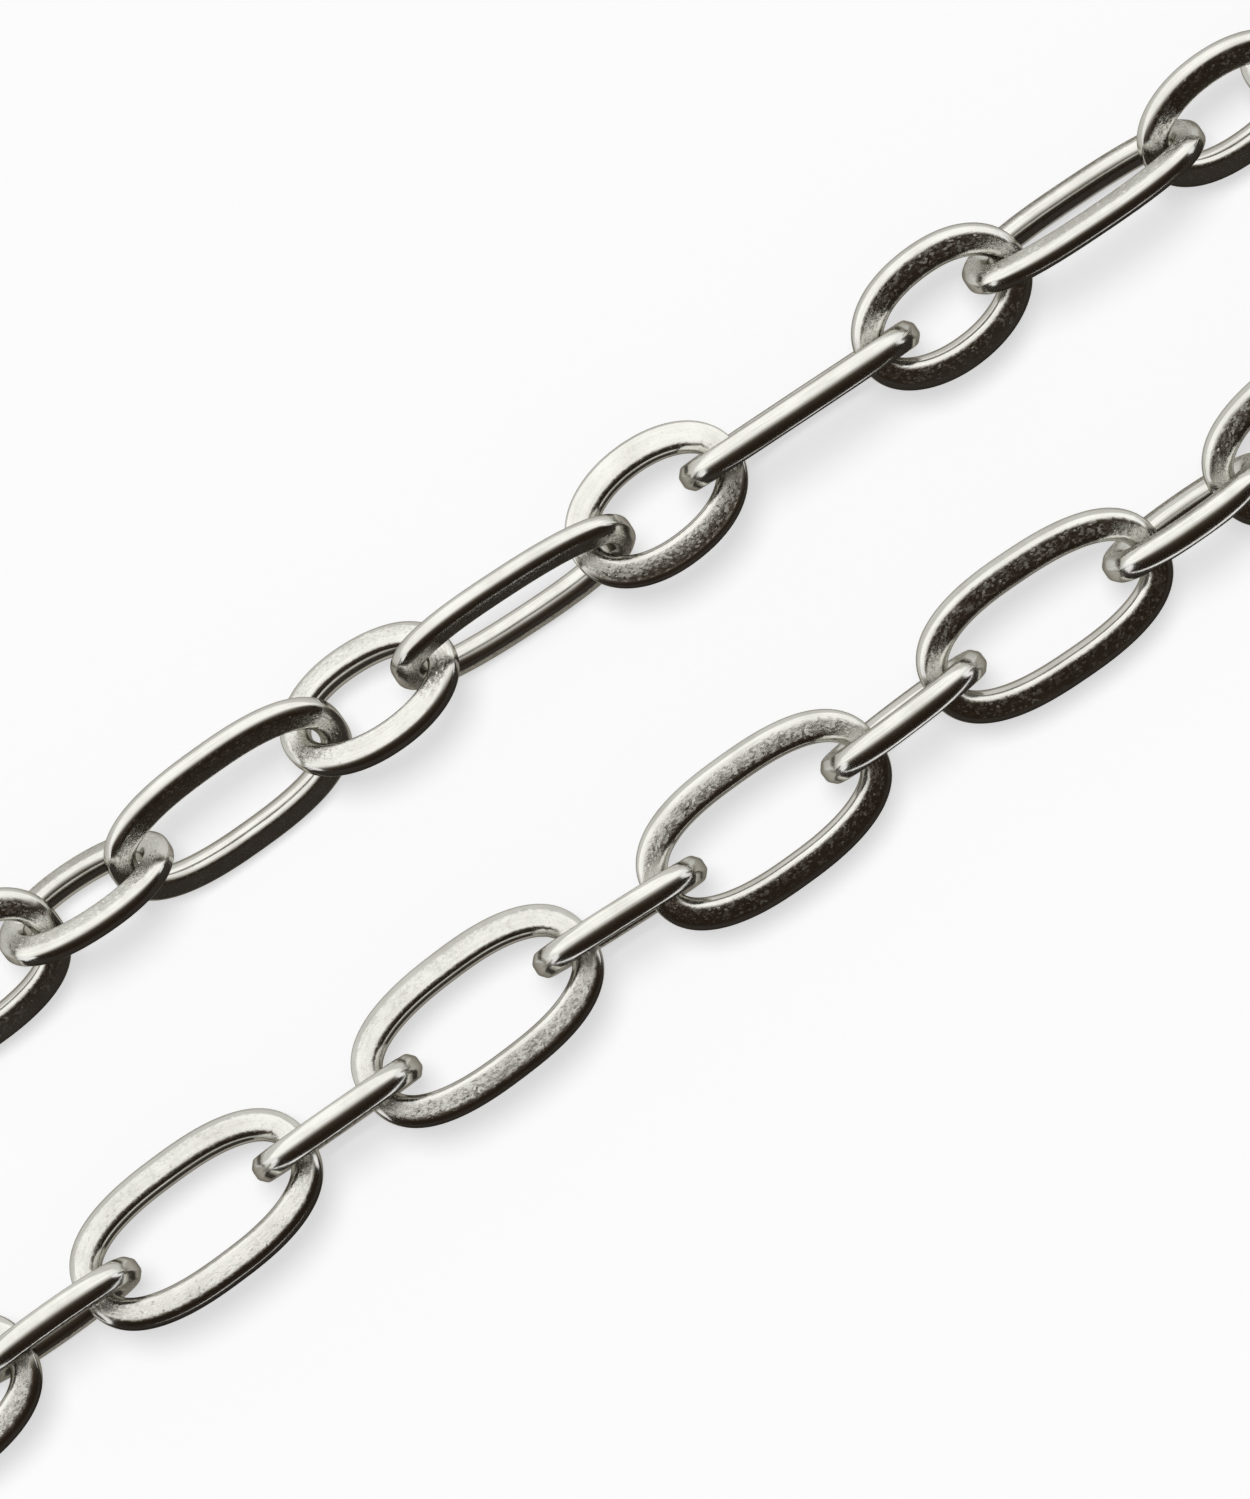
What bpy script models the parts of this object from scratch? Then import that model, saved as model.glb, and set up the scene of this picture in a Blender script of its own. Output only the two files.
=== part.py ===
"""A length of alternating long and short link chain, laid on a flat surface as a hairpin.

Sizes are in millimetres and the model is in metres, with the floor at z = 0. The chain is followed from
the free end of its upper run, round the turn, to the free end of its lower run. Every link is one closed
oval of flattened wire, and each is its own body.
"""

import math

import bmesh
import bpy
from mathutils import Matrix, Vector

MM = 0.001

# The wire, pressed flat above and below. Its width is measured in the plane of a link, and is greatest
# halfway along the link's sides. Each rounded side stands SIDE_ROUND beyond the flats.
BAND_WIDTH = 2.3
END_BAND_WIDTH = 2.0
BAND_THICKNESS = 1.9
SIDE_ROUND = 0.48
SIDE_FLAT_HEIGHT = 0.8

# The two kinds of oval, by outside length and width. Squareness 2 is an ellipse.
LONG_LENGTH = 18.7
LONG_WIDTH = 10.5
LONG_SQUARENESS = 2.5
LONG_STATIONS = 32
SHORT_LENGTH = 13.3
SHORT_WIDTH = 9.5
SHORT_SQUARENESS = 2.1
SHORT_STATIONS = 28

# The clear distance between the bars of two neighbours.
SEAT_GAP = 0.5

METAL_COLOUR = (0.74, 0.72, 0.68, 1.0)
METAL_ROUGHNESS = 0.16

# One row per link, in degrees. The first number is the direction of travel, from +X towards +Y. The second
# is the roll about it, 0 where the link lies flat, positive where its upper face leans to the left.
UPPER_RUN = (
    (-1.5, -20),
    (-1.9, 60),
    (0.2, -44),
    (-2.1, 35),
    (-2.3, -69),
    (1.7, 12),
    (-1.8, -92),
    (2.5, -19),
    (-1.5, -109),
    (-0.5, -36),
    (-0.7, -139),
)
TURN = (
    (-25.8, -62),
    (-75.1, 16),
    (-138, -75),
    (-182, 8),
    (-194.1, -80),
)
LOWER_RUN = (
    (-178.5, 16),
    (-180.4, -79),
    (-181.4, 18),
    (-178.2, -86),
    (-179.7, 10),
    (-183.1, -93),
    (-178.2, -14),
    (-180.5, -92),
    (-178.8, -17),
    (-180, -98),
    (-180.9, -12),
)
LAYOUT = UPPER_RUN + TURN + LOWER_RUN

# The slope that lets a link reach the height of its next neighbour is found in this many rounds.
SLOPE_ROUNDS = 6


def is_long(index):
    return index % 2 == 0


def bar_distance(index):
    """From the middle of a link to the middle of either end bar."""
    length = LONG_LENGTH if is_long(index) else SHORT_LENGTH
    return (length - END_BAND_WIDTH) / 2


def section(width):
    """The outline of wire of this width, as (outwards in the plane of the link, up from that plane)."""
    half_width = width / 2
    half_flat = half_width - SIDE_ROUND
    half_thick = BAND_THICKNESS / 2
    half_side = SIDE_FLAT_HEIGHT / 2
    return (
        (half_flat, half_thick),
        (half_width, half_side),
        (half_width, -half_side),
        (half_flat, -half_thick),
        (-half_flat, -half_thick),
        (-half_width, -half_side),
        (-half_width, half_side),
        (-half_flat, half_thick),
    )


def oval_point(half_length, half_width, squareness, angle):
    """A point of the oval and the direction that points out of it there."""
    power = 2 / squareness
    cosine = math.cos(angle)
    sine = math.sin(angle)
    x = half_length * math.copysign(abs(cosine) ** power, cosine)
    y = half_width * math.copysign(abs(sine) ** power, sine)
    steepness = squareness - 1
    out_x = math.copysign(abs(x / half_length) ** steepness, x) / half_length
    out_y = math.copysign(abs(y / half_width) ** steepness, y) / half_width
    return Vector((x, y, 0)), Vector((out_x, out_y, 0)).normalized()


def link_mesh(name, length, width, squareness, stations):
    """One closed oval lying flat, centred on the origin, with its length along X."""
    shape = bmesh.new()
    rings = []
    for station in range(stations):
        angle = 2 * math.pi * station / stations
        centre, outwards = oval_point(
            (length - END_BAND_WIDTH) / 2, (width - BAND_WIDTH) / 2, squareness, angle
        )
        sideways = outwards.y**2
        outline = section(END_BAND_WIDTH + (BAND_WIDTH - END_BAND_WIDTH) * sideways)
        ring = []
        for out, up in outline:
            ring.append(shape.verts.new((centre + outwards * out + Vector((0, 0, up))) * MM))
        rings.append(ring)
    for station in range(stations):
        here = rings[station]
        there = rings[(station + 1) % stations]
        for side in range(len(here)):
            after = (side + 1) % len(here)
            shape.faces.new((here[side], here[after], there[after], there[side]))
    bmesh.ops.recalc_face_normals(shape, faces=shape.faces)
    for face in shape.faces:
        face.smooth = True
    mesh = bpy.data.meshes.new(name)
    shape.to_mesh(mesh)
    shape.free()
    return mesh


def metal():
    material = bpy.data.materials.new("plated_metal")
    material.use_nodes = True
    shader = material.node_tree.nodes["Principled BSDF"]
    shader.inputs["Base Color"].default_value = METAL_COLOUR
    shader.inputs["Metallic"].default_value = 1.0
    shader.inputs["Roughness"].default_value = METAL_ROUGHNESS
    return material


def reach_below(mesh, roll):
    """How far a link of this roll reaches below its own centre, in millimetres."""
    cosine = math.cos(roll)
    sine = math.sin(roll)
    return max(vertex.co.y * sine + vertex.co.z * cosine for vertex in mesh.vertices) / MM


def link_axes(heading, slope, roll):
    """The directions along a link, across it in its plane, and out of its upper face."""
    along = Vector(
        (
            math.cos(heading) * math.cos(slope),
            math.sin(heading) * math.cos(slope),
            math.sin(slope),
        )
    )
    left = Vector((-math.sin(heading), math.cos(heading), 0))
    up = along.cross(left)
    across = left * math.cos(roll) - up * math.sin(roll)
    normal = up * math.cos(roll) + left * math.sin(roll)
    return along, across, normal


def near_bar(last_bar, last_across, across, along):
    """The middle of a link's near end bar, which crosses the last link's bar one seat away from it."""
    seat = last_across.cross(across).normalized()
    if seat.dot(along) < 0:
        seat = -seat
    return last_bar - seat * (END_BAND_WIDTH + SEAT_GAP)


def link_matrices(meshes):
    """Where each link lies, before the whole chain is moved to its place on the floor."""
    reaches = []
    for index, (_, roll) in enumerate(LAYOUT):
        reaches.append(reach_below(meshes[index], math.radians(roll)))
    matrices = []
    last_bar = Vector((0, 0, reaches[0]))
    last_across = None
    for index, (heading, roll) in enumerate(LAYOUT):
        heading = math.radians(heading)
        roll = math.radians(roll)
        half = bar_distance(index)
        height = max(reaches[index : index + 2])
        slope = 0.0
        for _ in range(SLOPE_ROUNDS):
            along, across, normal = link_axes(heading, slope, roll)
            start = last_bar
            if last_across is not None:
                start = near_bar(last_bar, last_across, across, along)
            slope = math.asin((height - start.z) / (2 * half))
        matrix = Matrix((along, across, normal)).transposed().to_4x4()
        matrix.translation = (start + along * half) * MM
        matrices.append(matrix)
        last_bar = start + along * (2 * half)
        last_across = across
    return matrices


def floor_offset(meshes, matrices):
    """The move that puts the middle of the chain's footprint on the origin and its lowest point at z = 0."""
    corners = []
    for mesh, matrix in zip(meshes, matrices):
        for vertex in mesh.vertices:
            corners.append(matrix @ vertex.co)
    low = Vector([min(corner[axis] for corner in corners) for axis in range(3)])
    high = Vector([max(corner[axis] for corner in corners) for axis in range(3)])
    return Vector((-(low.x + high.x) / 2, -(low.y + high.y) / 2, -low.z))


def hinge_matrix(parent, distance):
    """The hinge at a parent's end bar: its Z axis runs along that bar."""
    turned = Matrix.Rotation(math.radians(-90), 4, "X")
    return parent @ Matrix.Translation((distance * MM, 0, 0)) @ turned


def main():
    for old in list(bpy.data.objects):
        bpy.data.objects.remove(old)
    bpy.context.scene.unit_settings.scale_length = 1.0
    material = metal()
    long_mesh = link_mesh("long_link", LONG_LENGTH, LONG_WIDTH, LONG_SQUARENESS, LONG_STATIONS)
    short_mesh = link_mesh(
        "short_link", SHORT_LENGTH, SHORT_WIDTH, SHORT_SQUARENESS, SHORT_STATIONS
    )
    long_mesh.materials.append(material)
    short_mesh.materials.append(material)
    meshes = [long_mesh if is_long(index) else short_mesh for index in range(len(LAYOUT))]
    matrices = link_matrices(meshes)
    offset = Matrix.Translation(floor_offset(meshes, matrices))
    matrices = [offset @ matrix for matrix in matrices]
    collection = bpy.context.scene.collection
    middle = len(LAYOUT) // 2
    for index, (mesh, matrix) in enumerate(zip(meshes, matrices)):
        kind = "long" if is_long(index) else "short"
        link = bpy.data.objects.new(f"{kind}_link_{index + 1:02d}", mesh)
        collection.objects.link(link)
        if index == middle:
            link.matrix_world = matrix
            continue
        inner = index + 1 if index < middle else index - 1
        distance = bar_distance(inner) * (-1 if index < middle else 1)
        hinge = bpy.data.objects.new(f"hinge_{index + 1:02d}", None)
        collection.objects.link(hinge)
        hinge.matrix_world = hinge_matrix(matrices[inner], distance)
        link.parent = hinge
        link.matrix_parent_inverse = hinge.matrix_world.inverted()
        link.matrix_world = matrix


main()
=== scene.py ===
import math
import random

import bmesh
import bpy
import numpy as np
from mathutils import Matrix, Vector


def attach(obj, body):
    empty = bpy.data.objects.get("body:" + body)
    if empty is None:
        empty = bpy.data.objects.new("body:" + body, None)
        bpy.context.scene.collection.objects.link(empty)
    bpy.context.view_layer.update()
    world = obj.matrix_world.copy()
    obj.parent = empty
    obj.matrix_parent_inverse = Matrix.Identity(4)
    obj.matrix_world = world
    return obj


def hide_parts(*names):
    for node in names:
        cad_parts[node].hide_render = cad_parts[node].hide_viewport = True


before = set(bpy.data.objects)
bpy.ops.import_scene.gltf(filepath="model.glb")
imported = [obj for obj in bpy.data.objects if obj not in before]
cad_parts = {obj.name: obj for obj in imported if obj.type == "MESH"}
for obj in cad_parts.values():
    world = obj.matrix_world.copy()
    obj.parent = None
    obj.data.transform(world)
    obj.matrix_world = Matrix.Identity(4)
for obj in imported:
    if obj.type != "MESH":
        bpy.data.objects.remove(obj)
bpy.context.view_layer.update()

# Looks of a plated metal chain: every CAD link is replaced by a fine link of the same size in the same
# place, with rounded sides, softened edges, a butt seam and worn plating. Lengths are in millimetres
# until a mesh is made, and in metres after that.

MM = 0.001

# The wire's section. Its width in the plane of a link is greatest halfway along the link's sides, and
# each rounded side stands SIDE_ROUND beyond the flats. An end bar's side is a flat of END_SIDE_FLAT
# between two bevels. The edges are rounded over EDGE_ROUND, and over INNER_EDGE_ROUND inside the oval.
BAND_WIDTH = 2.3
END_BAND_WIDTH = 2.0
SIDE_ROUND = 0.48
END_SIDE_FLAT = 0.8
EDGE_ROUND = 0.17
INNER_EDGE_ROUND = 0.24
FLAT_STEPS = 6
EDGE_STEPS = 5
SIDE_STEPS = 5

# The camber and the crown of a link's flats. The camber is how many degrees they fall away towards the
# outside of the oval, as those of bent wire do, and the crown is how much lower they are at their
# edges. The fall is counted from a line inside the flat's middle, FALL_START of half its width away.
# The links that the photograph shows on edge have plain flats. OWN_FLATS has those that differ from the
# rest, by their numbers.
FALL_START = 0.8
MOST_FLATS = (7.0, 0.03)
PLAIN_FLATS = (0.0, 0.01)
OWN_FLATS = {
    6: (15.5, 0.06),
    7: PLAIN_FLATS,
    8: (3.0, 0.025),
    18: PLAIN_FLATS,
    19: (4.0, 0.02),
    20: PLAIN_FLATS,
    21: (10.0, 0.045),
    22: PLAIN_FLATS,
    23: (9.5, 0.016),
    24: PLAIN_FLATS,
    25: (2.5, 0.02),
    26: PLAIN_FLATS,
}

# The ovals. Squareness 2 is an ellipse.
LONG_SQUARENESS = 2.5
SHORT_SQUARENESS = 2.1
LONG_STATIONS = 120
SHORT_STATIONS = 96

# How far an oval strays from its true outline, in one wave for each number of turns. A wave's size is
# between these two shares of the most that it can be.
WOBBLE = 0.03
WOBBLE_TURNS = (2, 3, 5)
WOBBLE_SHARES = (0.3, 1.0)

# The butt seam, where the two ends of the wire meet. The wire is thinner there by the share SEAM_DEPTH,
# over SEAM_WIDTH. One end is SEAM_STEP too high and the other too low, which fades over SEAM_STEP_FADE.
# Near the seam the stations are at these distances from it along the wire, and the others keep
# SEAM_CLEARANCE times as far away as the last of them. SMALL_ANGLE is for measuring the length of wire
# to an angle.
SEAM_ANGLE_LONG = math.radians(22)
SEAM_ANGLE_SHORT = math.radians(20)
SEAM_SPREAD = math.radians(6)
SEAM_DEPTH = 0.006
SEAM_WIDTH = 0.2
SEAM_STEP = 0.015
SEAM_STEP_FADE = 1.4
SEAM_STATIONS = (-0.4, -0.2, -0.1, -0.05, 0.0, 0.05, 0.1, 0.2, 0.4)
SEAM_CLEARANCE = 1.3
SMALL_ANGLE = 0.01

FULL_TURN = 2 * math.pi


def link_number(name):
    return int(name[-2:])


NODES = sorted(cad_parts, key=link_number)


def surface_moments(mesh):
    """A mesh's points, the centre of its surface, and the surface's second moments about it, scaled."""
    mesh.calc_loop_triangles()
    points = np.array([vertex.co for vertex in mesh.vertices])
    corners = points[[triangle.vertices[:] for triangle in mesh.loop_triangles]]
    sides = corners[:, 1:] - corners[:, :1]
    areas = np.linalg.norm(np.cross(sides[:, 0], sides[:, 1]), axis=1) / 2
    middles = corners.mean(axis=1)
    centre = (areas[:, None] * middles).sum(axis=0) / areas.sum()
    offsets = corners - centre
    sums = offsets.sum(axis=1)
    spread = np.einsum("t,tci,tcj->ij", areas, offsets, offsets)
    spread += np.einsum("t,ti,tj->ij", areas, sums, sums)
    return points, centre, spread


def link_frames():
    """For each node, the link's centre, its axes (along, across, normal) and its half sizes, in metres."""
    found = {}
    for name in NODES:
        points, centre, spread = surface_moments(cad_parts[name].data)
        axes = np.linalg.eigh(spread)[1]
        found[name] = (points, Vector(centre), axes)
    frames = {}
    for index, name in enumerate(NODES):
        points, centre, axes = found[name]
        before = found[NODES[max(index - 1, 0)]][1]
        after = found[NODES[min(index + 1, len(NODES) - 1)]][1]
        along = Vector(axes[:, 2])
        normal = Vector(axes[:, 0])
        if along.dot(after - before) < 0:
            along = -along
        if normal.z < 0:
            normal = -normal
        across = normal.cross(along)
        turn = np.array([along, across, normal])
        half = np.abs((points - np.array(centre)) @ turn.T).max(axis=0)
        frames[name] = (centre, along, across, normal, half)
    return frames


FRAMES = link_frames()


def curve_between(start, corner, end, steps):
    """Points on the curve that rounds a corner, both ends included."""
    points = []
    for step in range(steps + 1):
        share = step / steps
        near = (1 - share) ** 2
        middle = 2 * share * (1 - share)
        far = share**2
        points.append(near * start + middle * corner + far * end)
    return points


def half_round(flat_edge, half_width, edge_height, rounding):
    """A rounded side, from the end of its edge's rounding to its middle. X points out of the wire."""
    bulge = half_width - flat_edge
    radius = (edge_height**2 + bulge**2) / (2 * bulge)
    opening = math.asin(edge_height / radius) - rounding / radius
    arc = []
    for step in range(SIDE_STEPS + 1):
        angle = opening * (1 - step / SIDE_STEPS)
        arc.append(Vector((half_width - radius * (1 - math.cos(angle)), radius * math.sin(angle))))
    return arc


def half_bevel(flat_edge, half_width, edge_height, rounding):
    """The same for an end bar, in as many points, with a flat between two bevels."""
    top = Vector((flat_edge, edge_height))
    corner = Vector((half_width, END_SIDE_FLAT / 2))
    slope = (corner - top).normalized()
    before = corner - slope * EDGE_ROUND
    turn = curve_between(before, corner, corner - Vector((0, EDGE_ROUND)), SIDE_STEPS - 2)
    return [top + slope * rounding, *turn, Vector((half_width, 0))]


def section(half_width, half_thick, camber, crown, side):
    """The wire's outline as points and their flatness: 1 on flats, 0.5 on edges and 0 on sides."""
    half_flat = half_width - SIDE_ROUND
    fall = math.tan(math.radians(camber))

    def top(out):
        """The height of the flat at a distance out from its middle."""
        return half_thick - crown * (out / half_flat) ** 2 - fall * (out + FALL_START * half_flat)

    first = INNER_EDGE_ROUND - half_flat
    last = half_flat - EDGE_ROUND
    flat = []
    for step in range(FLAT_STEPS + 1):
        out = first + (last - first) * step / FLAT_STEPS
        flat.append((Vector((out, top(out))), 1.0))

    def beyond(sign):
        """The points past one end of the flat, as far as the middle of that side."""
        height = top(sign * half_flat)
        rounding = EDGE_ROUND if sign > 0 else INNER_EDGE_ROUND
        arc = [
            Vector((sign * point.x, point.y)) for point in side(half_flat, half_width, height, rounding)
        ]
        start = flat[-1][0] if sign > 0 else flat[0][0]
        edge = curve_between(start, Vector((sign * half_flat, height)), arc[0], EDGE_STEPS)[1:-1]
        return [(point, 0.5) for point in edge] + [(point, 0.0) for point in arc]

    upper = list(reversed(beyond(-1))) + flat + beyond(1)
    lower = [(Vector((point.x, -point.y)), mark) for point, mark in reversed(upper[1:-1])]
    return upper + lower


def oval_point(half_length, half_width, squareness, angle):
    """A point of the oval and the direction that points out of it there."""
    power = 2 / squareness
    cosine = math.cos(angle)
    sine = math.sin(angle)
    x = half_length * math.copysign(abs(cosine) ** power, cosine)
    y = half_width * math.copysign(abs(sine) ** power, sine)
    steepness = squareness - 1
    out_x = math.copysign(abs(x / half_length) ** steepness, x) / half_length
    out_y = math.copysign(abs(y / half_width) ** steepness, y) / half_width
    return Vector((x, y, 0)), Vector((out_x, out_y, 0)).normalized()


def from_seam(angle, seam_angle):
    """How far an angle is past the seam, between minus and plus half a turn."""
    return (angle - seam_angle + math.pi) % FULL_TURN - math.pi


def station_angles(count, seam_angle, run_length):
    """The angles of the stations, with more of them close to the seam."""
    angles = []
    clear = max(SEAM_STATIONS) / run_length * SEAM_CLEARANCE
    for station in range(count):
        angle = FULL_TURN * station / count
        if abs(from_seam(angle, seam_angle)) > clear:
            angles.append(angle)
    for offset in SEAM_STATIONS:
        angles.append((seam_angle + offset / run_length) % FULL_TURN)
    return sorted(angles)


def wobble_waves(dice):
    """The waves by which an oval strays: how often each goes round, where it starts and its size."""
    waves = []
    for turns in WOBBLE_TURNS:
        start = dice.uniform(0, FULL_TURN)
        size = dice.uniform(*WOBBLE_SHARES) * WOBBLE / len(WOBBLE_TURNS)
        waves.append((turns, start, size))
    return waves


def link_rings(half, squareness, count, seam_angle, flats, dice):
    """The wire's middle and its outline at every station, and its widest outline, in millimetres."""
    half_length, half_width, half_thick = (value / MM for value in half)
    oval = (half_length - END_BAND_WIDTH / 2, half_width - BAND_WIDTH / 2, squareness)
    wide = section(BAND_WIDTH / 2, half_thick, *flats, half_round)
    narrow = section(END_BAND_WIDTH / 2, half_thick, *flats, half_bevel)
    waves = wobble_waves(dice)
    seam_point, _ = oval_point(*oval, seam_angle)
    beside, _ = oval_point(*oval, seam_angle + SMALL_ANGLE)
    run_length = (beside - seam_point).length / SMALL_ANGLE
    seam_sign = dice.choice((-1, 1))
    centres = []
    rings = []
    for angle in station_angles(count, seam_angle, run_length):
        centre, outwards = oval_point(*oval, angle)
        push = sum(size * math.cos(turns * angle + start) for turns, start, size in waves)
        centre = centre + outwards * (push - WOBBLE / 2)
        gap = from_seam(angle, seam_angle) * run_length
        pinch = 1 - SEAM_DEPTH * math.exp(-((gap / SEAM_WIDTH) ** 2))
        fade = math.exp(-abs(gap) / SEAM_STEP_FADE)
        lift = SEAM_STEP * seam_sign * math.tanh(gap / SEAM_WIDTH) * fade
        sideways = outwards.y**2
        ring = []
        for (at_end, _), (at_side, _) in zip(narrow, wide):
            out, up = at_end.lerp(at_side, sideways) * pinch
            ring.append(centre + outwards * out + Vector((0, 0, up + lift)))
        centres.append(centre)
        rings.append(ring)
    return centres, rings, wide


def running_lengths(points):
    """The length along a closed line of points, up to each point and back to the first."""
    lengths = [0.0]
    for here, there in zip(points, points[1:] + points[:1]):
        lengths.append(lengths[-1] + (there - here).length)
    return lengths


def link_mesh(name, centres, rings, outline):
    """A closed link through its rings, in metres, with the wire's own coordinates as an attribute."""
    along = running_lengths(centres)
    around = running_lengths([point for point, _ in outline])
    shape = bmesh.new()
    flat_layer = shape.verts.layers.float.new("flatness")
    wire_layer = shape.loops.layers.float_vector.new("wire")
    rows = []
    for ring in rings:
        row = []
        for point, (_, mark) in zip(ring, outline):
            vert = shape.verts.new(point * MM)
            vert[flat_layer] = mark
            row.append(vert)
        rows.append(row)
    for station, here in enumerate(rows):
        there = rows[(station + 1) % len(rows)]
        for side in range(len(here)):
            after = (side + 1) % len(here)
            face = shape.faces.new((here[side], there[side], there[after], here[after]))
            face.smooth = True
            spots = (
                (along[station], around[side]),
                (along[station + 1], around[side]),
                (along[station + 1], around[side + 1]),
                (along[station], around[side + 1]),
            )
            for loop, spot in zip(face.loops, spots):
                loop[wire_layer] = (*spot, 0.0)
    bmesh.ops.recalc_face_normals(shape, faces=shape.faces)
    mesh = bpy.data.meshes.new(name)
    shape.to_mesh(mesh)
    shape.free()
    return mesh


def feed(tree, socket, value):
    """Links an input to another node's output, or gives it a plain value."""
    if isinstance(value, bpy.types.NodeSocket):
        tree.links.new(value, socket)
    else:
        socket.default_value = value


def node_of(tree, kind, *placed, **named):
    """A new node. Placed values go to its inputs in order, and named ones to its settings or inputs."""
    node = tree.nodes.new(kind)
    for key, value in named.items():
        if hasattr(node, key):
            setattr(node, key, value)
        else:
            feed(tree, node.inputs[key.replace("_", " ")], value)
    for socket, value in zip(node.inputs, placed):
        feed(tree, socket, value)
    return node


def maths(tree, operation, *values):
    return node_of(tree, "ShaderNodeMath", *values, operation=operation).outputs["Value"]


def vector_maths(tree, operation, *values):
    return node_of(tree, "ShaderNodeVectorMath", *values, operation=operation).outputs["Vector"]


def mapped(tree, value, low, high, to_low, to_high):
    """A value moved from the range between low and high to another range, which it doesn't leave."""
    limits = {"From_Min": low, "From_Max": high, "To_Min": to_low, "To_Max": to_high}
    return node_of(tree, "ShaderNodeMapRange", Value=value, **limits).outputs["Result"]


# The metal's colours: fresh plating, dull plating, and the tint of what it mirrors at a glancing angle.
METAL_BASE = (0.82, 0.815, 0.785)
METAL_WORN = (0.69, 0.68, 0.64)
METAL_EDGE_TINT = (0.42, 0.40, 0.36)

# The grit and the drawn lines follow the wire, with this many grains to the millimetre along it and
# around it. They also drift by this many grains to the metre, so that they differ from link to link.
# The other patterns have this many grains to the metre.
GRIT_GRAINS = (4.5, 7.0, 1.0)
LINE_GRAINS = (0.35, 9.0, 1.0)
DRIFT = (90.0, 90.0, 90.0)
FINE_GRAINS = 6500.0
COARSE_GRAINS = 2600.0
PATCH_GRAINS = 420.0

# Grit is small facets on the flats, each with random numbers between 0 and 1 of its own. They lean with
# the strength GRIT_LEAN, and where one number is over RARE_GRIT, RARE_LEAN is added. Where another is
# over ROUGH_GRIT, up to GRIT_ROUGHNESS is added to the roughness.
GRIT_LEAN = 0.15
RARE_GRIT = 0.93
RARE_LEAN = 0.225
ROUGH_GRIT = 0.4
GRIT_ROUGHNESS = 0.28

# The pits on the flats are a fine noise and a share of a coarse one. The depths are in metres.
COARSE_SHARE = 0.4
PIT_DEPTH = 0.000025
LINE_DEPTH = 0.000006
LINE_STRENGTH = 0.35

# Patches and WORN_LINES of the drawn lines add up to the wear. The plating is fresh where that is
# WORN_FROM or less, and dull where it is WORN_TO or more.
WORN_LINES = 0.8
WORN_FROM = 0.75
WORN_TO = 1.15

# The roughness goes from the first to the second value as a noise goes over NOISE_RANGE.
NOISE_RANGE = (0.3, 0.7)
FLAT_ROUGHNESS = (0.07, 0.15)
SIDE_ROUGHNESS = (0.12, 0.20)


def place_in(tree):
    return node_of(tree, "ShaderNodeTexCoord").outputs["Object"]


def along_wire(tree, grains):
    """Coordinates for a pattern that follows the wire and differs from link to link."""
    wire = node_of(tree, "ShaderNodeAttribute", attribute_name="wire").outputs["Vector"]
    scaled = node_of(tree, "ShaderNodeMapping", Vector=wire, Scale=grains).outputs["Vector"]
    return vector_maths(tree, "MULTIPLY_ADD", place_in(tree), DRIFT, scaled)


def noise(tree, place, scale, detail, roughness):
    values = {"Vector": place, "Scale": scale, "Detail": detail, "Roughness": roughness}
    return node_of(tree, "ShaderNodeTexNoise", **values).outputs["Fac"]


def grit_normal(tree, flatness, grit, cell):
    """The surface's normal, leaning on each facet of grit the way that its random numbers say."""
    lean = vector_maths(tree, "SUBTRACT", grit, (0.5, 0.5, 0.5))
    rare = maths(tree, "GREATER_THAN", cell["Blue"], RARE_GRIT)
    strength = maths(tree, "MULTIPLY_ADD", rare, RARE_LEAN, GRIT_LEAN)
    amount = maths(tree, "MULTIPLY", flatness, strength)
    leaning = node_of(tree, "ShaderNodeVectorMath", lean, operation="SCALE", Scale=amount).outputs["Vector"]
    surface = node_of(tree, "ShaderNodeNewGeometry").outputs["Normal"]
    return vector_maths(tree, "NORMALIZE", vector_maths(tree, "ADD", surface, leaning))


def metal_normal(tree, flatness, facets, coarse, lines):
    """Facets and two sizes of pits on the flats, and drawn lines everywhere."""
    fine = noise(tree, place_in(tree), FINE_GRAINS, detail=4.0, roughness=0.75)
    pits = maths(tree, "MULTIPLY_ADD", coarse, COARSE_SHARE, fine)
    flats = node_of(
        tree, "ShaderNodeBump", Strength=flatness, Distance=PIT_DEPTH, Height=pits, Normal=facets
    )
    drawn = node_of(
        tree,
        "ShaderNodeBump",
        Strength=LINE_STRENGTH,
        Distance=LINE_DEPTH,
        Height=lines,
        Normal=flats.outputs["Normal"],
    )
    return drawn.outputs["Normal"]


def metal_colour(tree, lines):
    """Duller and browner in patches and along the drawn lines."""
    patches = noise(tree, place_in(tree), PATCH_GRAINS, detail=3.0, roughness=0.6)
    marks = maths(tree, "MULTIPLY_ADD", lines, WORN_LINES, patches)
    worn = mapped(tree, marks, WORN_FROM, WORN_TO, 0.0, 1.0)
    mix = node_of(tree, "ShaderNodeMix", data_type="RGBA", Factor=worn)
    fresh, dull = [socket for socket in mix.inputs if socket.type == "RGBA"]
    fresh.default_value = (*METAL_BASE, 1.0)
    dull.default_value = (*METAL_WORN, 1.0)
    return [socket for socket in mix.outputs if socket.type == "RGBA"][0]


def metal_roughness(tree, flatness, cell, coarse, lines):
    """Rougher on some facets of grit, and on the sides."""
    cells = mapped(tree, cell["Green"], ROUGH_GRIT, 1.0, 0.0, GRIT_ROUGHNESS)
    flats = maths(tree, "ADD", mapped(tree, coarse, *NOISE_RANGE, *FLAT_ROUGHNESS), cells)
    sides = mapped(tree, lines, *NOISE_RANGE, *SIDE_ROUGHNESS)
    mix = node_of(tree, "ShaderNodeMix", data_type="FLOAT", Factor=flatness, A=sides, B=flats)
    return mix.outputs["Result"]


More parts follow.
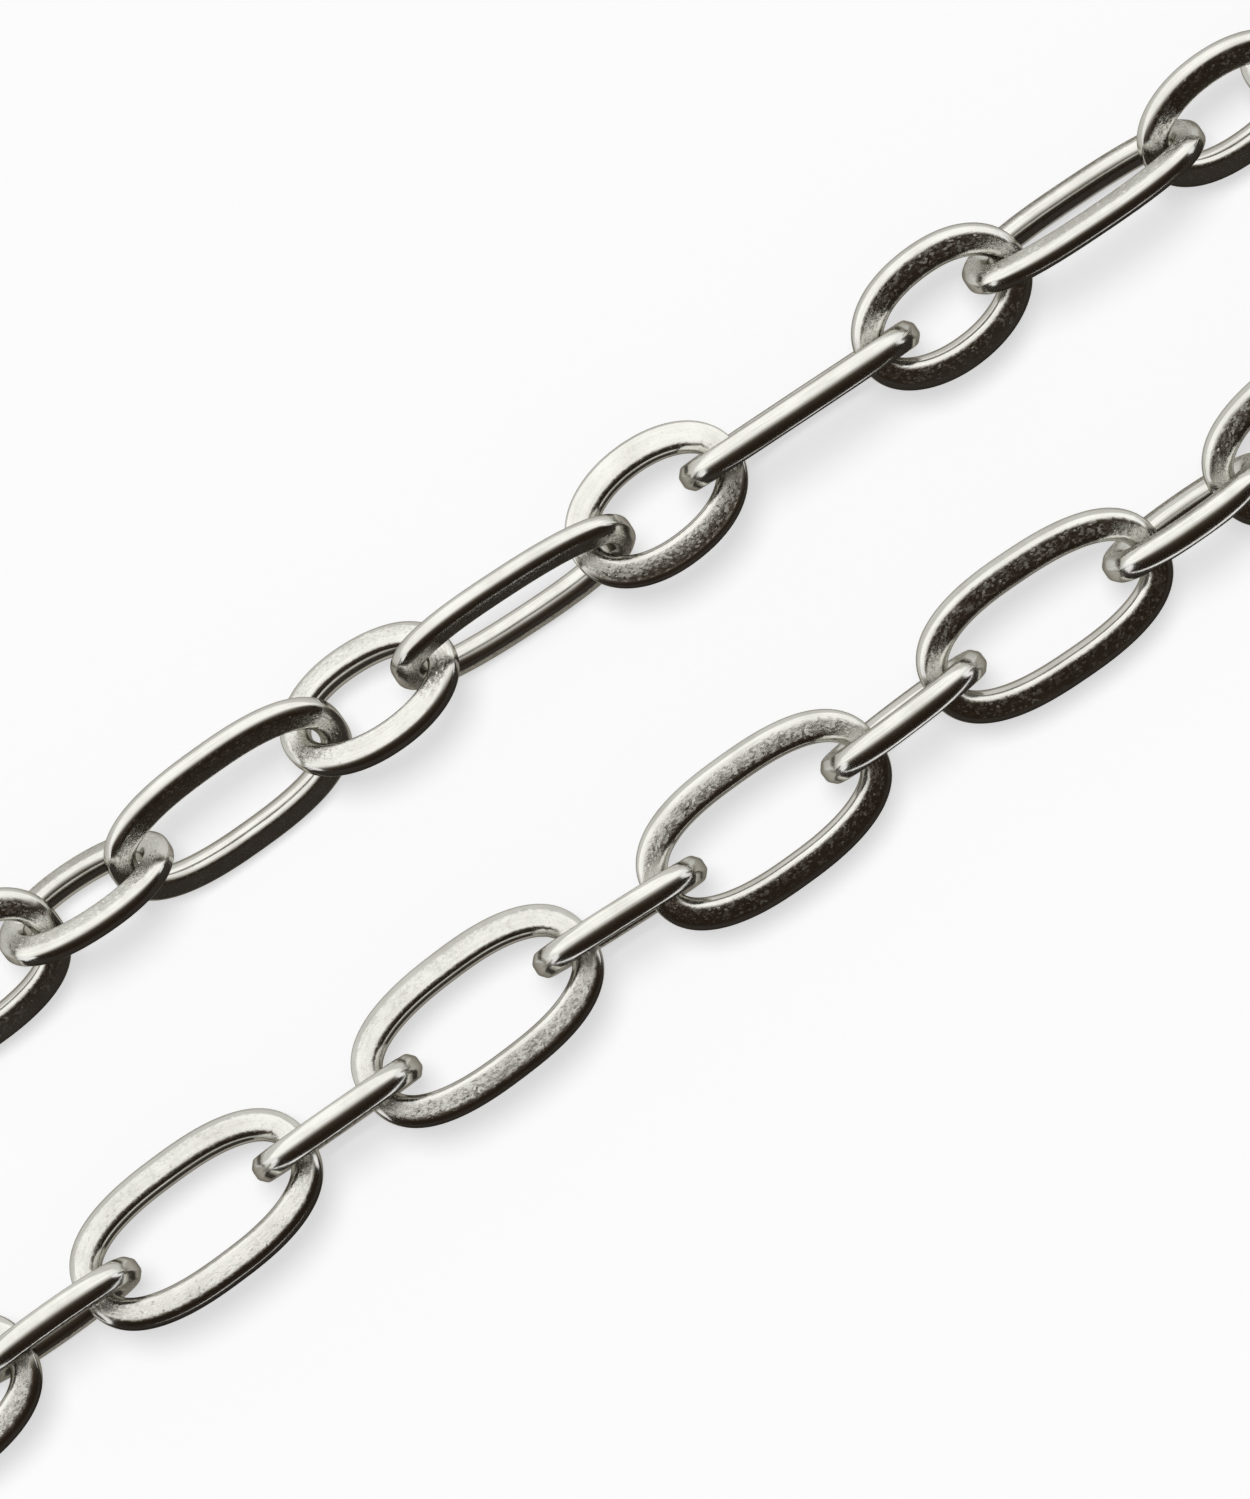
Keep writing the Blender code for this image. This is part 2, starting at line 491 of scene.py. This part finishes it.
def plated_metal():
    """Bright nickel plating: pitted and scratched on the flats, drawn lines along the rounded sides."""
    material = bpy.data.materials.new("plated_metal")
    material.use_nodes = True
    tree = material.node_tree
    flatness = node_of(tree, "ShaderNodeAttribute", attribute_name="flatness").outputs["Fac"]
    grit_place = along_wire(tree, GRIT_GRAINS)
    grit = node_of(tree, "ShaderNodeTexVoronoi", Vector=grit_place, Scale=1.0).outputs["Color"]
    cell = node_of(tree, "ShaderNodeSeparateColor", grit).outputs
    coarse = noise(tree, place_in(tree), COARSE_GRAINS, detail=2.0, roughness=0.5)
    lines = noise(tree, along_wire(tree, LINE_GRAINS), 1.0, detail=3.0, roughness=0.55)
    facets = grit_normal(tree, flatness, grit, cell)
    inputs = tree.nodes["Principled BSDF"].inputs
    inputs["Metallic"].default_value = 1.0
    inputs["Specular Tint"].default_value = (*METAL_EDGE_TINT, 1.0)
    feed(tree, inputs["Normal"], metal_normal(tree, flatness, facets, coarse, lines))
    feed(tree, inputs["Base Color"], metal_colour(tree, lines))
    feed(tree, inputs["Roughness"], metal_roughness(tree, flatness, cell, coarse, lines))
    return material


def make_links():
    material = plated_metal()
    for name in NODES:
        centre, along, across, normal, half = FRAMES[name]
        number = link_number(name)
        dice = random.Random(number)
        is_long = name.startswith("long")
        seam_angle = SEAM_ANGLE_LONG if is_long else SEAM_ANGLE_SHORT
        seam_angle += dice.uniform(-SEAM_SPREAD, SEAM_SPREAD)
        if along.x < 0:
            seam_angle += math.pi
        centres, rings, outline = link_rings(
            half,
            LONG_SQUARENESS if is_long else SHORT_SQUARENESS,
            LONG_STATIONS if is_long else SHORT_STATIONS,
            seam_angle % FULL_TURN,
            OWN_FLATS.get(number, MOST_FLATS),
            dice,
        )
        mesh = link_mesh("fine_" + name, centres, rings, outline)
        matrix = Matrix((along, across, normal)).transposed().to_4x4()
        matrix.translation = centre
        mesh.transform(matrix)
        mesh.materials.append(material)
        piece = bpy.data.objects.new("fine_" + name, mesh)
        bpy.context.scene.collection.objects.link(piece)
        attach(piece, name)
        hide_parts(name)


def add_strip(shape, stops, length):
    """A strip of faces along X through the stops, each a Y, a Z and a glow."""
    shade = shape.verts.layers.float_color["glow"]
    rows = []
    for y, z, colour in stops:
        row = [shape.verts.new((x, y, z)) for x in (-length / 2, length / 2)]
        for vert in row:
            vert[shade] = (*colour, 1.0)
        rows.append(row)
    for here, there in zip(rows, rows[1:]):
        shape.faces.new((here[0], here[1], there[1], there[0]))


def mirror_only(name, shape):
    """A glowing stage piece that only the metal mirrors, painted by its own colours.

    It glows for rays that have met no diffuse surface yet, so that the metal doesn't throw its light on
    the floor.
    """
    mesh = bpy.data.meshes.new(name)
    shape.to_mesh(mesh)
    shape.free()
    material = bpy.data.materials.new(name)
    material.use_nodes = True
    tree = material.node_tree
    tree.nodes.clear()
    painted = node_of(tree, "ShaderNodeAttribute", attribute_name="glow").outputs["Color"]
    depth = node_of(tree, "ShaderNodeLightPath").outputs["Diffuse Depth"]
    direct = maths(tree, "LESS_THAN", depth, 0.5)
    glow = node_of(tree, "ShaderNodeEmission", Color=painted, Strength=direct).outputs["Emission"]
    node_of(tree, "ShaderNodeOutputMaterial", Surface=glow)
    mesh.materials.append(material)
    piece = bpy.data.objects.new(name, mesh)
    bpy.context.scene.collection.objects.link(piece)
    piece.visible_camera = False
    piece.visible_diffuse = False
    piece.visible_shadow = False


# The tent that the metal mirrors is a tunnel along the chain, white on the side of the upper left and
# dark on the side of the lower right. Each stop is an angle from straight up, positive towards the
# lower right, and the tent's glow there. The tent's sizes are in metres.
TENT_RADIUS = 0.7
TENT_LENGTH = 4.0
TENT_STEP = 2
TENT_STOPS = (
    (-90, (1.16, 1.16, 1.12)),
    (-60, (1.18, 1.18, 1.14)),
    (-40, (1.12, 1.12, 1.09)),
    (-24, (1.11, 1.11, 1.08)),
    (-18, (1.00, 0.995, 0.96)),
    (-10, (0.69, 0.675, 0.64)),
    (-4, (0.49, 0.475, 0.44)),
    (0, (0.32, 0.303, 0.270)),
    (6, (0.145, 0.129, 0.107)),
    (12, (0.062, 0.049, 0.037)),
    (20, (0.042, 0.031, 0.022)),
    (34, (0.024, 0.017, 0.012)),
    (60, (0.018, 0.012, 0.008)),
    (90, (0.030, 0.024, 0.018)),
)


def tent_colour(angle):
    for (low, first), (high, second) in zip(TENT_STOPS, TENT_STOPS[1:]):
        if angle <= high:
            share = (angle - low) / (high - low)
            return [one + (other - one) * share for one, other in zip(first, second)]
    return TENT_STOPS[-1][1]


def make_tent():
    shape = bmesh.new()
    shape.verts.layers.float_color.new("glow")
    stops = []
    for angle in range(TENT_STOPS[0][0], TENT_STOPS[-1][0] + 1, TENT_STEP):
        turn = math.radians(angle)
        stops.append((-TENT_RADIUS * math.sin(turn), TENT_RADIUS * math.cos(turn), tent_colour(angle)))
    add_strip(shape, stops, TENT_LENGTH)
    mirror_only("tent", shape)


# The metal also mirrors a low card along each run, which paints the floor's shade and the run's shadow
# into what the metal mirrors. From the upper left, it lies on the floor, pale, then grey under the run's
# RUN_LINKS links as painted shade, and dark beyond them as painted shadow. It stands up at its far edge,
# dark there too as painted shadow, and has a pale back. A stop is a distance from the run's middle line,
# positive towards the lower right, and the glow there.
RUN_LINKS = 11
CARD_LENGTH = 150.0
CARD_LIFT = 0.02
CARD_PALE = (0.70, 0.70, 0.67)
# The grey below is painted shade on the floor under the links, and the dark is painted shadow of the run.
CARD_PAINTED_SHADE = (0.46, 0.44, 0.40)
CARD_PAINTED_SHADOW = (0.036, 0.030, 0.025)
CARD_STOPS = (
    (-3.0, CARD_PALE),
    (-2.8, CARD_PAINTED_SHADE),
    (3.6, CARD_PAINTED_SHADE),
    (5.0, CARD_PAINTED_SHADOW),
    (9.0, CARD_PAINTED_SHADOW),
)
UPPER_CARD_START = -60.0
LOWER_CARD_START = -11.6
UPPER_CARD_HEIGHT = 9.0
LOWER_CARD_HEIGHT = 6.4
CARD_BACK_GAP = 0.2


# Builds the mirrored cards that paint the chain's shade and shadow on the floor.
def make_painted_shadow_cards():
    shape = bmesh.new()
    shape.verts.layers.float_color.new("glow")
    runs = (
        (NODES[:RUN_LINKS], UPPER_CARD_START, UPPER_CARD_HEIGHT),
        (NODES[-RUN_LINKS:], LOWER_CARD_START, LOWER_CARD_HEIGHT),
    )
    for names, start, height in runs:
        middle = sum(FRAMES[name][0].y for name in names) / len(names)
        far = CARD_STOPS[-1][0]
        stops = ((start, CARD_PALE), *CARD_STOPS)
        face = [(middle - out * MM, CARD_LIFT * MM, glow) for out, glow in stops]
        # The card's standing edge is dark with painted shadow too.
        face.append((middle - far * MM, height * MM, CARD_PAINTED_SHADOW))
        behind = middle - (far + CARD_BACK_GAP) * MM
        back = [(behind, up * MM, CARD_PALE) for up in (CARD_LIFT, height)]
        add_strip(shape, face, CARD_LENGTH * MM)
        add_strip(shape, back, CARD_LENGTH * MM)
    mirror_only("cards", shape)


def seen_by_eye_or_gloss(tree):
    """A socket that is 1 for camera, glossy and transmission rays, and 0 for the rays that light things."""
    path = node_of(tree, "ShaderNodeLightPath").outputs
    eye_or_gloss = maths(tree, "MAXIMUM", path["Is Camera Ray"], path["Is Glossy Ray"])
    return maths(tree, "MAXIMUM", eye_or_gloss, path["Is Transmission Ray"])


# The floor's own glow gives most of its white. The soft lamp above the upper left gives the rest, which
# is what the chain's shadow takes away. FLOOR_SIZE is in metres.
FLOOR_SIZE = 24.0
FLOOR_COLOUR = (0.93, 0.93, 0.93)
FLOOR_ROUGHNESS = 0.9
FLOOR_GLOW = 0.63
FILL_LEVEL = 0.06
LAMP_STRENGTH = 1.0
LAMP_TILT = math.radians(15)
LAMP_ANGLE = math.radians(24)


def make_floor():
    bpy.ops.mesh.primitive_plane_add(size=FLOOR_SIZE, location=(0, 0, 0))
    floor = bpy.context.object
    floor.name = "floor"
    material = bpy.data.materials.new("floor")
    material.use_nodes = True
    tree = material.node_tree
    inputs = tree.nodes["Principled BSDF"].inputs
    inputs["Base Color"].default_value = (*FLOOR_COLOUR, 1.0)
    inputs["Roughness"].default_value = FLOOR_ROUGHNESS
    inputs["Specular IOR Level"].default_value = 0.0
    inputs["Emission Color"].default_value = (1.0, 1.0, 1.0, 1.0)
    glow = maths(tree, "MULTIPLY", seen_by_eye_or_gloss(tree), FLOOR_GLOW)
    feed(tree, inputs["Emission Strength"], glow)
    floor.data.materials.append(material)


def make_world():
    """White for what the camera and the metal see, and a low even fill for everything else."""
    world = bpy.data.worlds.new("studio")
    bpy.context.scene.world = world
    world.use_nodes = True
    tree = world.node_tree
    inputs = tree.nodes["Background"].inputs
    inputs["Color"].default_value = (1.0, 1.0, 1.0, 1.0)
    feed(tree, inputs["Strength"], mapped(tree, seen_by_eye_or_gloss(tree), 0.0, 1.0, FILL_LEVEL, 1.0))


def make_lamp():
    """One soft lamp above the upper left of the picture. The metal mirrors the tent in its place."""
    data = bpy.data.lights.new("lamp", "SUN")
    data.energy = LAMP_STRENGTH
    data.angle = LAMP_ANGLE
    lamp = bpy.data.objects.new("lamp", data)
    bpy.context.scene.collection.objects.link(lamp)
    back = Vector((0.0, math.sin(LAMP_TILT), math.cos(LAMP_TILT)))
    lamp.location = back
    lamp.rotation_mode = "QUATERNION"
    lamp.rotation_quaternion = back.to_track_quat("Z", "X")
    lamp.visible_glossy = False


# The camera looks straight down. The photograph's sizes are in pixels, and its width takes in
# VIEW_WIDTH of the floor. The runs climb to the right at RUN_CLIMB. The picture's middle is AIM_OFFSET
# away from the centre of link AIM_LINK. The camera sees from CLIP_START to CLIP_END, in metres.
PHOTO_WIDTH = 1250
PHOTO_HEIGHT = 1499
VIEW_WIDTH = 82.76
RUN_CLIMB = math.radians(35.4)
AIM_LINK = 7
AIM_OFFSET = (-22.59, -11.86)
CAMERA_HEIGHT = 900.0
CLIP_START = 0.05
CLIP_END = 50.0


def make_camera():
    centre = FRAMES[NODES[AIM_LINK - 1]][0]
    right = Vector((math.cos(RUN_CLIMB), -math.sin(RUN_CLIMB), 0))
    up = Vector((math.sin(RUN_CLIMB), math.cos(RUN_CLIMB), 0))
    data = bpy.data.cameras.new("camera")
    camera = bpy.data.objects.new("camera", data)
    bpy.context.scene.collection.objects.link(camera)
    place = Matrix((right, up, Vector((0, 0, 1)))).transposed().to_4x4()
    x = centre.x + AIM_OFFSET[0] * MM
    y = centre.y + AIM_OFFSET[1] * MM
    place.translation = (x, y, centre.z + CAMERA_HEIGHT * MM)
    camera.matrix_world = place
    view_height = VIEW_WIDTH * PHOTO_HEIGHT / PHOTO_WIDTH
    data.lens = data.sensor_width * CAMERA_HEIGHT / view_height
    data.clip_start = CLIP_START
    data.clip_end = CLIP_END
    bpy.context.scene.camera = camera


make_links()
make_floor()
make_tent()
make_painted_shadow_cards()
make_world()
make_lamp()
make_camera()
bpy.context.scene.view_settings.view_transform = "Standard"
